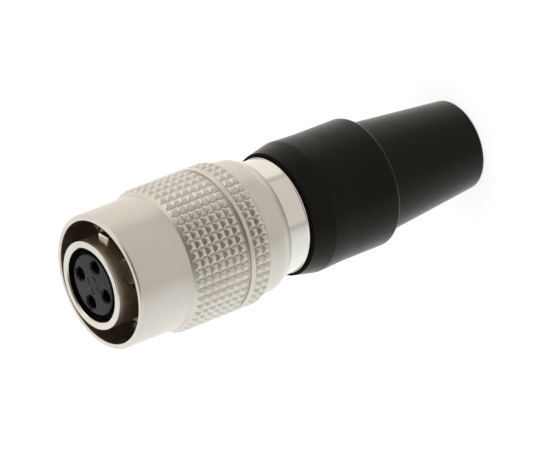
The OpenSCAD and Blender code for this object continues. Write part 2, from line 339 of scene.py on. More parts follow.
SATIN_NICKEL = Finish(
    "satin_nickel", Slot.SLEEVE, (0.595, 0.552, 0.499), (0.635, 0.591, 0.538), metallic=1.0,
    rough_low=0.30, rough_high=0.38, grain_scale=6000.0, grain_bump=0.0015,
)
# Painted shade: a darker, browner copy of the nickel for the faces deep inside the sleeve's mouth and
# annulus, which are plated the same as the outside.
PAINTED_SHADE_NICKEL = Finish(
    "painted_shade_nickel", Slot.SLEEVE, (0.54, 0.47, 0.365), (0.62, 0.545, 0.43), metallic=1.0,
    rough_low=0.26, rough_high=0.34, turned_bump=0.0012,
)
# Painted shade: a near-black copy of the nickel for the main guide key, which sits in shade inside the
# sleeve's mouth.
PAINTED_SHADE_ON_KEY = Finish(
    "painted_shade_on_key", Slot.BRIGHT, (0.17, 0.14, 0.11), (0.21, 0.18, 0.14), metallic=1.0,
    rough_low=0.14, rough_high=0.22, grain_scale=6000.0, grain_bump=0.001,
)
BRIGHT_NICKEL = Finish(
    "polished_nickel", Slot.BRIGHT, (0.72, 0.68, 0.63), (0.76, 0.72, 0.67), metallic=1.0,
    rough_low=0.10, rough_high=0.16, turned_bump=0.0008,
)
FACED_NICKEL = Finish(
    "faced_nickel", Slot.BRIGHT, (0.58, 0.56, 0.50), (0.63, 0.61, 0.55), metallic=1.0,
    rough_low=0.16, rough_high=0.24, turned_bump=0.003, turned_across=1.0, turned_pitch=9000.0,
)
DARK_RESIN = Finish(
    "dark_resin", Slot.INSULATOR, (0.0034, 0.0026, 0.0036), (0.0056, 0.0044, 0.0060), drift_scale=500.0,
    rough_low=0.34, rough_high=0.44, grain_scale=9000.0, grain_bump=0.003, specular=0.22,
)
# Painted shade: a darker copy of the insulator resin for the block's recessed faces and contact holes.
PAINTED_SHADE_RESIN = Finish(
    "painted_shade_resin", Slot.INSULATOR, (0.0012, 0.0011, 0.0014), (0.002, 0.0018, 0.0024), drift_scale=500.0,
    rough_low=0.6, rough_high=0.75, grain_scale=9000.0, grain_bump=0.003, specular=0.05,
)
GOLD_PLATE = Finish(
    "gold_plate", Slot.GOLD, (0.80, 0.55, 0.20), (0.84, 0.60, 0.25), metallic=1.0,
    rough_low=0.16, rough_high=0.24, turned_bump=0.001,
)
SPRING_STEEL = Finish(
    "drawn_steel", Slot.STEEL, (0.50, 0.49, 0.47), (0.56, 0.55, 0.53), metallic=1.0,
    rough_low=0.24, rough_high=0.34, grain_scale=5000.0, grain_bump=0.0015,
)
GASKET_RUBBER = Finish(
    "seal_rubber", Slot.GASKET, (0.018, 0.018, 0.018), (0.026, 0.026, 0.026),
    rough_low=0.55, rough_high=0.7, grain_scale=5000.0, grain_bump=0.006, specular=0.3,
)
BOOT_RUBBER = Finish(
    "moulded_rubber", Slot.BOOT, (0.0016, 0.0013, 0.0007), (0.0028, 0.0023, 0.0014), drift_scale=260.0,
    rough_low=0.28, rough_high=0.36, grain_scale=4200.0, grain_bump=0.003, specular=0.14,
    specular_tint=(1.0, 0.92, 0.80),
)
BOOT_FACE = Finish(
    "cut_rubber", Slot.BOOT, (0.0022, 0.0020, 0.0015), (0.0045, 0.0041, 0.0032), drift_scale=1500.0,
    rough_low=0.62, rough_high=0.8, grain_scale=3600.0, grain_bump=0.02, specular=0.05,
)


# ---------------------------------------------------------------- turned meshes


@dataclass(frozen=True)
class Corner:
    """A corner of a turned outline: radius and height in millimetres, and the radius of its rounding."""

    r: float
    z: float
    fillet: float = 0.0


def rounded(corners: Sequence[Corner], steps: int = 6) -> list[Point]:
    """Turns a closed outline of corners into points, with an arc at each rounded corner.

    Args:
        corners: The outline's corners in order.
        steps: Segments in each arc.

    Returns:
        The outline's points in order.
    """
    points: list[Point] = []
    for i, corner in enumerate(corners):
        here = Vector((corner.r, corner.z))
        before = Vector((corners[i - 1].r, corners[i - 1].z)) - here
        after_corner = corners[(i + 1) % len(corners)]
        after = Vector((after_corner.r, after_corner.z)) - here
        turn = before.angle(after) if before.length > 0 and after.length > 0 else math.pi
        if corner.fillet <= 0.0 or abs(turn - math.pi) < 1e-3:
            points.append((corner.r, corner.z))
            continue
        reach = min(corner.fillet / math.tan(turn / 2), 0.49 * before.length, 0.49 * after.length)
        radius = reach * math.tan(turn / 2)
        start, end = here + before.normalized() * reach, here + after.normalized() * reach
        middle = (before.normalized() + after.normalized()).normalized()
        centre = here + middle * (radius / math.sin(turn / 2))
        a, b = start - centre, end - centre
        sweep = a.angle_signed(b)
        for k in range(steps + 1):
            angle = -sweep * k / steps
            spoke = Vector((
                a.x * math.cos(angle) - a.y * math.sin(angle),
                a.x * math.sin(angle) + a.y * math.cos(angle),
            ))
            points.append((centre.x + spoke.x, centre.y + spoke.y))
    return points


def closed_grid(
    name: str,
    outline: Sequence[Point],
    columns: int = TURNED_COLUMNS,
    angle_of: Callable[[int], float] | None = None,
    swell: Callable[[float, float, float], float] | None = None,
) -> bpy.types.Object:
    """Turns a closed outline about the axis into one closed mesh.

    Args:
        name: The object's name.
        outline: Points of the outline, as radius and height in millimetres.
        columns: Columns of faces round the axis.
        angle_of: The angle of each column, where they aren't evenly spread.
        swell: Extra radius in millimetres for a radius, height and angle.

    Returns:
        The new object, smooth apart from its sharp edges.
    """
    turn = angle_of or (lambda column: 2 * math.pi * column / columns)
    spokes = [(math.cos(turn(c)), math.sin(turn(c)), turn(c)) for c in range(columns)]
    verts: list[tuple[float, float, float]] = []
    for r, z in outline:
        for x, y, angle in spokes:
            reach = r + (swell(r, z, angle) if swell else 0.0)
            verts.append((reach * x * MM, reach * y * MM, z * MM))
    rows = len(outline)
    faces = [
        (
            row * columns + c,
            row * columns + (c + 1) % columns,
            (row + 1) % rows * columns + (c + 1) % columns,
            (row + 1) % rows * columns + c,
        )
        for row in range(rows)
        for c in range(columns)
    ]
    return finished_mesh(name, verts, faces)


def finished_mesh(
    name: str, verts: Iterable[Sequence[float]], faces: Iterable[Sequence[int]], sharp: float = SHARP_ANGLE
) -> bpy.types.Object:
    """Makes an object from points and faces, with its normals outward and its sharp edges marked.

    Args:
        name: The object's name.
        verts: Points in metres.
        faces: Faces as indices of the points.
        sharp: Edges that bend more than this angle stay sharp.

    Returns:
        The new object, linked to the scene.
    """
    mesh = bpy.data.meshes.new(name)
    mesh.from_pydata([tuple(v) for v in verts], [], [tuple(f) for f in faces])
    made = bmesh.new()
    made.from_mesh(mesh)
    bmesh.ops.remove_doubles(made, verts=made.verts, dist=1e-8)
    bmesh.ops.recalc_face_normals(made, faces=made.faces)
    made.to_mesh(mesh)
    made.free()
    return placed(name, mesh, sharp)


def placed(name: str, mesh: bpy.types.Mesh, sharp: float = SHARP_ANGLE) -> bpy.types.Object:
    """Links a mesh to the scene as an object with smooth shading.

    Args:
        name: The object's name.
        mesh: Its mesh.
        sharp: Edges that bend more than this angle stay sharp.

    Returns:
        The new object.
    """
    for face in mesh.polygons:
        face.use_smooth = True
    mesh.set_sharp_from_angle(angle=sharp)
    piece = bpy.data.objects.new(name, mesh)
    bpy.context.scene.collection.objects.link(piece)
    return piece


def dress(
    piece: bpy.types.Object,
    finish: Finish,
    body: Body,
    replaced: Sequence[str] = (),
    others: Sequence[Finish] = (),
) -> None:
    """Gives a piece its materials and its place among the bodies.

    Args:
        piece: The piece.
        finish: Its main finish.
        body: The body that it rides on.
        replaced: The nodes that it stands for.
        others: More finishes, for faces that name them by index.
    """
    for each in (finish, *others):
        piece.data.materials.append(each.material())
    if replaced:
        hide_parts(*replaced)
    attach(piece, body.value)
    LOG.info("%s: %d faces on %s", piece.name, len(piece.data.polygons), body.value)


def paint(piece: bpy.types.Object, index: int, chosen: Callable[[Vector, Vector], bool]) -> None:
    """Gives some of a piece's faces another of its materials.

    Args:
        piece: The piece.
        index: The material's index.
        chosen: Says of a face's centre and normal, in millimetres, whether it is one of them.
    """
    for face in piece.data.polygons:
        if chosen(face.center / MM, face.normal):
            face.material_index = index


def radial(normal: Vector, centre: Vector) -> float:
    """How far a face looks away from the axis, from -1 to 1."""
    spoke = Vector((centre.x, centre.y, 0.0))
    return normal.dot(spoke.normalized()) if spoke.length > 0 else 0.0


# ---------------------------------------------------------------- sub-assemblies


@dataclass
class Sleeve:
    """The knurled outer sleeve, with its plain front, two bands of square pads and a rib between them."""

    front_d: float = 10.2
    mouth_d: float = 9.35
    front_l: float = 4.85
    knurl_d: float = 11.0
    knurl_depth: float = 0.22
    knurl_count: int = 46
    knurl_pitch: float = 0.67
    front_rows: int = 7
    rear_rows: int = 2
    rib_w: float = 0.42
    groove_w: float = 0.12
    plain_d: float = 10.3
    shoulder_l: float = 1.3
    end_d: float = 9.5
    wall_at_end: float = 0.25
    pad_share: float = 0.42
    pad_droop: float = 0.06
    band_gap: float = 0.12
    ledge_w: float = 0.55
    chamber_w: float = 0.05
    chamber_run: float = 0.4
    samples: tuple[float, ...] = (0.0, 0.08, 0.16, 0.24, 0.31, 0.5, 0.69, 0.76, 0.84, 0.92)

    def __post_init__(self) -> None:
        """Reads the sleeve's ends from the frame."""
        low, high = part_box("coupling_sleeve")
        self.rear_z = low.z / MM
        self.rim_z = high.z / MM
        self.front_z = self.rim_z - self.front_l
        self.front_band_z = self.front_z - self.front_rows * self.knurl_pitch
        self.rib_z = self.front_band_z - self.groove_w - self.rib_w
        self.rear_band_z = self.rib_z - self.groove_w - self.rear_rows * self.knurl_pitch
        self.shoulder_z = self.rear_z + self.shoulder_l

    def pad(self, share: float) -> float:
        """How high a pad stands over the groove.

        Args:
            share: A place in the pad's pitch, from 0 to 1.

        Returns:
            Its height there, from 0 in the groove to 1 on its top.
        """
        edge = (1.0 - self.pad_share) / 2
        slope = min(share, 1.0 - share) / edge
        return min(1.0, max(0.0, slope))

    def swell(self, r: float, z: float, angle: float) -> float:
        """How high the knurl stands over the groove floor at one place of the outer surface.

        Args:
            r: The place's radius.
            z: Its height.
            angle: Its angle round the axis.

        Returns:
            The extra radius, or 0 away from the two bands.
        """
        if r < self.knurl_d / 2 - self.knurl_depth - 0.01 or r > self.knurl_d / 2 - 0.01:
            return 0.0
        for start, rows in ((self.front_band_z, self.front_rows), (self.rear_band_z, self.rear_rows)):
            along = (z - start) / self.knurl_pitch
            if -1e-6 <= along <= rows + 1e-6:
                round_share = (angle * self.knurl_count / (2 * math.pi)) % 1.0
                high = min(self.pad(along % 1.0), self.pad(round_share))
                return self.knurl_depth * (high - self.pad_droop * high * high)
        return 0.0

    def band(self, start: float, rows: int) -> list[Point]:
        """The outline of one knurled band, at the radius of its groove floor.

        Args:
            start: The height of its lower end.
            rows: How many rows of pads it has.

        Returns:
            Its points from the lower end to the upper end.
        """
        floor = self.knurl_d / 2 - self.knurl_depth
        points = [(floor, start + self.knurl_pitch * (row + s)) for row in range(rows) for s in self.samples]
        return [*points, (floor, start + self.knurl_pitch * rows)]

    def column_angle(self, column: int) -> float:
        """The angle of one column of points, dense where the pads' slopes are."""
        pad, part = divmod(column, len(self.samples))
        return 2 * math.pi * (pad + self.samples[part]) / self.knurl_count

    def outline(self) -> list[Point]:
        """The sleeve's closed outline.

        Returns:
            Its points from the rear end up the outside and back down the inside.
        """
        bore_r = self.end_d / 2 - self.wall_at_end
        knurl_r, groove_r = self.knurl_d / 2, self.knurl_d / 2 - self.knurl_depth
        rear = rounded([
            Corner(bore_r, self.rear_z),
            Corner(self.end_d / 2, self.rear_z, 0.1),
            Corner(self.plain_d / 2 - 0.05, self.shoulder_z - 0.6, 1.2),
            Corner(self.plain_d / 2, self.shoulder_z, 1.0),
            Corner(self.plain_d / 2, self.rear_band_z - self.band_gap, 0.03),
            Corner(knurl_r - self.knurl_depth, self.rear_band_z - 0.02),
            Corner(bore_r, self.rear_band_z),
        ])[:-2]
        rib = rounded([
            Corner(groove_r, self.rib_z - self.groove_w, 0.02),
            Corner(groove_r, self.rib_z, 0.03),
            Corner(knurl_r, self.rib_z, 0.1),
            Corner(knurl_r, self.rib_z + self.rib_w, 0.1),
            Corner(groove_r, self.rib_z + self.rib_w, 0.03),
            Corner(groove_r, self.front_band_z, 0.02),
            Corner(bore_r, self.front_band_z),
            Corner(bore_r, self.rib_z - self.groove_w),
        ])[:-2]
        mouth_r, ledge_r = self.mouth_d / 2, self.end_d / 2 - self.ledge_w
        chamber_r = mouth_r + self.chamber_w
        stop_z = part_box("stop_ring")[0].z / MM
        spring_low, spring_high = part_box("return_spring")
        chamber_z, ledge_z = spring_low.z / MM - self.chamber_run, spring_high.z / MM
        front = rounded([
            Corner(bore_r, self.front_z),
            Corner(knurl_r - self.knurl_depth, self.front_z + 0.01),
            Corner(self.front_d / 2, self.front_z + 0.15, 0.03),
            Corner(self.front_d / 2, self.rim_z, 0.28),
            Corner(mouth_r, self.rim_z, 0.07),
            Corner(mouth_r, stop_z),
            Corner(ledge_r, stop_z),
            Corner(ledge_r, ledge_z),
            Corner(chamber_r, ledge_z),
            Corner(chamber_r, chamber_z),
            Corner(bore_r, chamber_z),
        ])[1:]
        return [
            *rear,
            *self.band(self.rear_band_z, self.rear_rows),
            *rib,
            *self.band(self.front_band_z, self.front_rows),
            *front,
        ]

    def build(self) -> None:
        """Makes the sleeve and dresses it."""
        columns = self.knurl_count * len(self.samples)
        piece = closed_grid("knurled_sleeve", self.outline(), columns, self.column_angle, self.swell)
        dress(piece, SATIN_NICKEL, Body.SLEEVE, ["coupling_sleeve"], [PAINTED_SHADE_NICKEL])
        painted_shade_reach, painted_shade_top = self.mouth_d / 2 + 0.06, self.rim_z - 0.1
        # The faces inside the mouth and annulus take the darker nickel as painted shade.
        paint(piece, 1, lambda c, n: math.hypot(c.x, c.y) < painted_shade_reach and c.z < painted_shade_top and radial(n, c) < 0.5)


@dataclass
class Nose:
    """The plug shell: a thin-walled nose with two guide keys of different widths."""

    nose_d: float = 6.7
    bore_d: float = 5.62
    key_h: float = 0.37
    key_set_back: float = 1.2
    key_sink: float = 0.15
    key_round: float = 0.09
    flange_w: float = 0.35
    spigot_r: float = 3.575
    rear_bore_r: float = 3.11
    collar_run: float = 0.8
    edge: float = 0.09
    main_key: tuple[float, float] = (1.9, -90.0)
    second_key: tuple[float, float] = (1.15, -35.0)

    def key(
        self, name: str, finish: Finish, width: float, angle: float, low_z: float, high_z: float
    ) -> None:
        """Makes one guide key with rounded edges.

        Args:
            name: The piece's name.
            finish: Its finish.
            width: The key's width.
            angle: Where it sits round the nose, in degrees.
            low_z: Its lower end.
            high_z: Its front end.
        """
        inner, outer = self.nose_d / 2 - self.key_sink, self.nose_d / 2 + self.key_h
        made = bmesh.new()
        bmesh.ops.create_cube(made, size=1.0)
        size = Matrix.Diagonal((outer - inner, width, high_z - low_z, 1.0))
        shift = Matrix.Translation(((inner + outer) / 2, 0.0, (low_z + high_z) / 2))
        turn = Matrix.Rotation(math.radians(angle), 4, "Z")
        bmesh.ops.transform(made, matrix=turn @ shift @ size, verts=made.verts)
        bmesh.ops.bevel(
            made, geom=list(made.edges), offset=self.key_round, segments=3, profile=0.5, affect="EDGES",
            clamp_overlap=True,
        )
        bmesh.ops.scale(made, vec=(MM, MM, MM), verts=made.verts)
        mesh = bpy.data.meshes.new(name)
        made.to_mesh(mesh)
        made.free()
        dress(placed(name, mesh), finish, Body.PLUG)

    def build(self) -> None:
        """Makes the nose and its keys."""
        low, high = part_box("plug_shell")
        lock_low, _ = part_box("lock_spring")
        stop_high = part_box("stop_ring")[1].z / MM
        nose_z, end_z, flange_z = high.z / MM, low.z / MM, stop_high + self.flange_w
        face_z = lock_low.z / MM
        flange_r, bore_r, nose_r = high.x / MM, self.bore_d / 2, self.nose_d / 2
        step_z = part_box("rear_insulator")[1].z / MM + self.collar_run
        outline = rounded([
            Corner(self.spigot_r, end_z, 0.1), Corner(self.spigot_r, flange_z),
            Corner(flange_r, flange_z, 0.05), Corner(flange_r, face_z, 0.05), Corner(nose_r, face_z, 0.08),
            Corner(nose_r, nose_z, self.edge), Corner(bore_r + self.edge, nose_z, 0.03),
            Corner(bore_r, nose_z - self.edge, 0.03), Corner(bore_r, step_z),
            Corner(self.rear_bore_r, step_z), Corner(self.rear_bore_r, end_z, 0.05),
        ])
        piece = closed_grid("plug_nose", outline)
        dress(piece, BRIGHT_NICKEL, Body.PLUG, ["plug_shell"], [FACED_NICKEL, PAINTED_SHADE_NICKEL])
        paint(piece, 1, lambda c, n: c.z > nose_z - 0.2 and n.z > 0.5)
        # The nose's outer wall deep in the sleeve's annulus takes the darker nickel as painted shade.
        paint(piece, 2, lambda c, n: c.z < nose_z - 0.9 and math.hypot(c.x, c.y) > nose_r - 0.01)
        key_z = nose_z - self.key_set_back
        # The main key takes a near-black nickel as painted shade; the second key keeps the bright nickel.
        self.key("main_guide_key", PAINTED_SHADE_ON_KEY, *self.main_key, face_z - 0.1, key_z)
        self.key("second_guide_key", BRIGHT_NICKEL, *self.second_key, face_z - 0.1, key_z)


@dataclass
class ContactFace:
    """The insulator in the nose: a raised face with four holes and their numbers."""

    pitch: float = 2.2
    entry_d: float = 0.96
    bore_d: float = 1.34
    sink_w: float = 0.16
    sink_depth: float = 0.12
    block_r: float = 2.79
    collar_l: float = 0.8
    boss_d: float = 4.64
    boss_h: float = 0.55
    boss_round: float = 0.12
    digit_size: float = 0.7
    digit_rise: float = 0.03
    digit_share: float = 0.36

    def places(self) -> list[tuple[str, float, float]]:
        """The four contacts' numbers and places."""
        reach = self.pitch / 2
        return [("1", reach, reach), ("2", -reach, reach), ("3", -reach, -reach), ("4", reach, -reach)]

    def cutter(self, x: float, y: float, low_z: float, tip_z: float, face_z: float) -> bpy.types.Object:
        """Turns a tool that cuts one contact's hole, with a small countersink at the face.

        Args:
            x: The contact's place along X.
            y: The contact's place along Y.
            low_z: The height of the block's rear end.
            tip_z: The height of the contact's tip.
            face_z: The height of the face.

        Returns:
            The tool.
        """
        entry, bore, centre_r = self.entry_d / 2, self.bore_d / 2, 0.001
        below_z, above_z = low_z - 1.0, face_z + 0.04
        shape = [
            (centre_r, below_z), (bore, below_z), (bore, tip_z), (entry, tip_z),
            (entry, face_z - self.sink_depth), (entry + self.sink_w, above_z), (centre_r, above_z),
        ]
        tool = closed_grid("contact_hole_tool", shape, 40)
        tool.data.transform(Matrix.Translation((x * MM, y * MM, 0.0)))
        return tool

    def build(self) -> None:
        """Makes the block, cuts its holes and sets the numbers on its face."""
        low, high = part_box("contact_block")
        face_z, low_z, outer_r = high.z / MM, low.z / MM, high.x / MM
        step_z, recess_z, boss_r = low_z + self.collar_l, face_z - self.boss_h, self.boss_d / 2
        tip_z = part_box("contact_1")[1].z / MM
        outline = rounded([
            Corner(0.0, low_z), Corner(outer_r, low_z, 0.05), Corner(outer_r, step_z, 0.03),
            Corner(self.block_r, step_z), Corner(self.block_r, recess_z, 0.04),
            Corner(boss_r, recess_z, 0.04), Corner(boss_r, face_z, self.boss_round), Corner(0.0, face_z),
        ])
        piece = closed_grid("contact_face_block", outline, 128)
        for _, x, y in self.places():
            tool = self.cutter(x, y, low_z, tip_z, face_z)
            self.subtract(piece, tool)
        piece.data.set_sharp_from_angle(angle=SHARP_ANGLE)
        dress(piece, DARK_RESIN, Body.PLUG, ["contact_block"], [PAINTED_SHADE_RESIN])
        # The recessed faces and holes below the raised face take the darker resin as painted shade.
        paint(piece, 1, lambda c, n: c.z < face_z - 0.05)
        for label, x, y in self.places():
            self.digit(label, self.digit_share * x, self.digit_share * y, face_z)

    @staticmethod
    def subtract(piece: bpy.types.Object, tool: bpy.types.Object) -> None:
        """Cuts a tool out of a piece and throws the tool away.

        Args:
            piece: The piece.
            tool: The tool.
        """
        cut = piece.modifiers.new("hole", "BOOLEAN")
        cut.object, cut.operation, cut.solver = tool, "DIFFERENCE", "EXACT"
        bpy.context.view_layer.update()
        solved = piece.evaluated_get(bpy.context.evaluated_depsgraph_get())
        mesh = bpy.data.meshes.new_from_object(solved)
        piece.modifiers.clear()
        piece.data = mesh
        bpy.data.objects.remove(tool)

    def digit(self, label: str, x: float, y: float, face_z: float) -> None:
        """Moulds one raised number on the face.

        Args:
            label: The number.
            x: Its middle along X.
            y: Its middle along Y.
            face_z: The height of the face.
        """
        letter = bpy.data.curves.new("digit_" + label, "FONT")
        letter.body = label
        letter.align_x, letter.align_y = "CENTER", "CENTER"
        letter.size = self.digit_size * MM
        letter.extrude = self.digit_rise * MM
        holder = bpy.data.objects.new("digit_curve", letter)
        bpy.context.scene.collection.objects.link(holder)
        bpy.context.view_layer.update()
        solved = holder.evaluated_get(bpy.context.evaluated_depsgraph_get())
        mesh = bpy.data.meshes.new_from_object(solved)
        bpy.data.objects.remove(holder)
        shift = Matrix.Translation((x * MM, y * MM, face_z * MM))
        mesh.transform(shift @ Matrix.Rotation(math.radians(90), 4, "Z"))
        piece = placed("contact_number_" + label, mesh)
        dress(piece, DARK_RESIN, Body.PLUG)


@dataclass
class BrightBody:
    """The bright round body between the sleeve and the boot, with a bead where it enters the boot."""

    body_r: float = 4.425
    bead: float = 0.03
    wall: float = 0.3
    neck_w: float = 0.5
    gland_w: float = 1.0
    shell_bore_r: float = 3.575
    shield_bore_r: float = 3.05
    shell_gap: float = 0.12

    def build(self) -> None:
        """Makes the body and dresses it."""
        low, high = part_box("rear_body")
        boot_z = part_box("cable_boot")[1].z / MM
        seat_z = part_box("spring_seat")[0].z / MM
        nut_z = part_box("clamp_nut")[1].z / MM
        shell_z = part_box("plug_shell")[0].z / MM
        shield_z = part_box("shield_ring")[1].z / MM
        stop_low, stop_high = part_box("stop_ring")[0].z / MM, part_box("stop_ring")[1].z / MM
        low_z, high_z = low.z / MM, high.z / MM
        tube_r, neck_r = self.body_r - self.wall, self.body_r - self.neck_w
        gland_r, rim_r = self.body_r - self.gland_w, self.body_r + self.bead
        seat_low_z = shell_z - self.shell_gap
        outline = rounded([
            Corner(gland_r, low_z), Corner(neck_r, low_z, 0.15), Corner(neck_r, nut_z),
            Corner(self.body_r, nut_z), Corner(self.body_r, boot_z - 0.02),
            Corner(rim_r, boot_z + 0.01, 0.03), Corner(rim_r, boot_z + 0.16, 0.04),
            Corner(self.body_r, boot_z + 0.22, 0.05), Corner(self.body_r, seat_z, 0.05),
            Corner(tube_r, seat_z), Corner(tube_r, stop_low), Corner(neck_r, stop_low),
            Corner(neck_r, stop_high), Corner(tube_r, stop_high), Corner(tube_r, high_z),
            Corner(self.shell_bore_r, high_z), Corner(self.shell_bore_r, seat_low_z),
            Corner(self.shield_bore_r, seat_low_z), Corner(self.shield_bore_r, shield_z),
            Corner(gland_r, shield_z),
        ])
        piece = closed_grid("bright_body", outline)
        dress(piece, BRIGHT_NICKEL, Body.PLUG, ["rear_body"])


@dataclass
class Boot:
    """The rubber boot: a flared front, a body with a waist, a round shoulder and a tapered tail."""

    tail_l: float = 9.0
    tail_end_d: float = 6.9
    tail_root_d: float = 8.7
    boot_d: float = 10.15
    waist_d: float = 9.95
    face_d: float = 9.3
    flare_l: float = 1.9
    hole_d: float = 4.4
    nut_r: float = 4.525
    body_r: float = 4.425
    nib_r: float = 0.09
    nib_places: tuple[tuple[float, float], ...] = ((-62.0, 6.9), (-92.0, 2.6), (-128.0, 13.4))

    def nib(self, name: str, angle: float, z: float, surface_r: float) -> None:
        """Leaves one small moulding nib on the rubber.

        Args:
            name: The piece's name.
            angle: Where it sits round the boot, in degrees.
            z: Its height.
            surface_r: The boot's radius there.
        """
        made = bmesh.new()
        bmesh.ops.create_icosphere(made, subdivisions=3, radius=self.nib_r)
        turn = Matrix.Rotation(math.radians(angle), 4, "Z")
        lie = Matrix.Translation((surface_r, 0.0, z)) @ Matrix.Diagonal((0.4, 0.8, 1.3, 1.0))
        bmesh.ops.transform(made, matrix=turn @ lie, verts=made.verts)
        bmesh.ops.scale(made, vec=(MM, MM, MM), verts=made.verts)
        mesh = bpy.data.meshes.new(name)
        made.to_mesh(mesh)
        made.free()
        dress(placed(name, mesh), BOOT_RUBBER, Body.PLUG)

    def build(self) -> None:
        """Makes the boot and its moulding nibs."""
        front_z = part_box("cable_boot")[1].z / MM
        nut_low, nut_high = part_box("clamp_nut")[0].z / MM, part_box("clamp_nut")[1].z / MM
        tail_end_r, tail_root_r, hole_r = self.tail_end_d / 2, self.tail_root_d / 2, self.hole_d / 2
        face_r, waist_r = self.face_d / 2, self.waist_d / 2
        middle_z = (self.tail_l + front_z) / 2
        outline = rounded([
            Corner(hole_r, 0.0, 0.15), Corner(tail_end_r, 0.0, 0.3),
            Corner(tail_root_r, self.tail_l + 0.1, 0.15), Corner(tail_root_r + 0.25, self.tail_l + 0.12, 0.1),
            Corner(waist_r, self.tail_l + 0.35, 0.9), Corner(waist_r, middle_z, 6.0),
            Corner(self.boot_d / 2, front_z - self.flare_l, 0.5),
            Corner(face_r + 0.06, front_z - 0.1, 0.1), Corner(face_r - 0.05, front_z, 0.05),
            Corner(self.body_r, front_z, 0.04), Corner(self.body_r, nut_high), Corner(self.nut_r, nut_high),
            Corner(self.nut_r, nut_low), Corner(hole_r, nut_low),
        ], 8)
        piece = closed_grid("rubber_boot", outline)
        dress(piece, BOOT_RUBBER, Body.PLUG, ["cable_boot"], [BOOT_FACE])
        paint(piece, 1, lambda c, n: c.z > front_z - 0.25)
        slope = (tail_root_r - tail_end_r) / self.tail_l
        for i, (angle, z) in enumerate(self.nib_places):
            surface_r = tail_end_r + slope * z if z < self.tail_l else waist_r
            self.nib(f"mould_nib_{i + 1}", angle, z, surface_r)


@dataclass
class CoilSpring:
    """The return spring as one round wire."""

    turns: float = 4.0
    wire_d: float = 0.4
    travel: float = 1.5
    steps_a_turn: int = 48
    sides: int = 12

    def build(self) -> None:
        """Winds the wire from the seat to the sleeve's ledge and closes its ends."""
        low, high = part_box("return_spring")
        low_z, length, wire_r = low.z / MM, (high.z - low.z) / MM, self.wire_d / 2
        coil_r, count, sides = high.x / MM - wire_r, round(self.turns * self.steps_a_turn), self.sides
        verts: list[tuple[float, float, float]] = []
        for i in range(count + 1):
            turn = 2 * math.pi * self.turns * i / count
            for k in range(sides):
                side = 2 * math.pi * (k + 0.5) / sides
                reach = coil_r + wire_r * math.cos(side)
                height = low_z + wire_r + (length - self.wire_d) * i / count + wire_r * math.sin(side)
                verts.append((reach * math.cos(turn) * MM, reach * math.sin(turn) * MM, height * MM))
        faces: list[Sequence[int]] = [
            tuple((i + up) * sides + (k + on) % sides for up, on in ((0, 0), (0, 1), (1, 1), (1, 0)))
            for i in range(count)
            for k in range(sides)
        ]
        faces += [tuple(range(sides)), tuple(range(count * sides, (count + 1) * sides))]
        piece = finished_mesh("coil_spring", verts, faces)
        dress(piece, SPRING_STEEL, Body.PLUG, ["return_spring"])
        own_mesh(piece)


@dataclass
class InnerParts:
    """The pieces inside, which keep their own solids and get their finishes."""

    finishes: dict[str, Finish] = field(default_factory=lambda: {
        "contact_1": GOLD_PLATE, "contact_2": GOLD_PLATE, "contact_3": GOLD_PLATE, "contact_4": GOLD_PLATE,
        "rear_insulator": DARK_RESIN, "insulator_clip": SPRING_STEEL, "lock_spring": SPRING_STEEL,
        "stop_ring": SPRING_STEEL, "spring_seat": SPRING_STEEL,
        "shield_ring": BRIGHT_NICKEL, "thrust_washer": BRIGHT_NICKEL, "clamp_collet": BRIGHT_NICKEL,
        "clamp_nut": BRIGHT_NICKEL, "cable_gasket": GASKET_RUBBER,
    })

    def build(self, nodes: dict[str, bpy.types.Object]) -> None:
        """Sets each node's material.

        Args:
            nodes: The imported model's nodes by name.
        """
        for name, finish in self.finishes.items():
            piece = nodes[name]
            piece.data.materials.clear()
            piece.data.materials.append(finish.material())
            LOG.info("%s: %s", name, finish.name)


# ---------------------------------------------------------------- studio


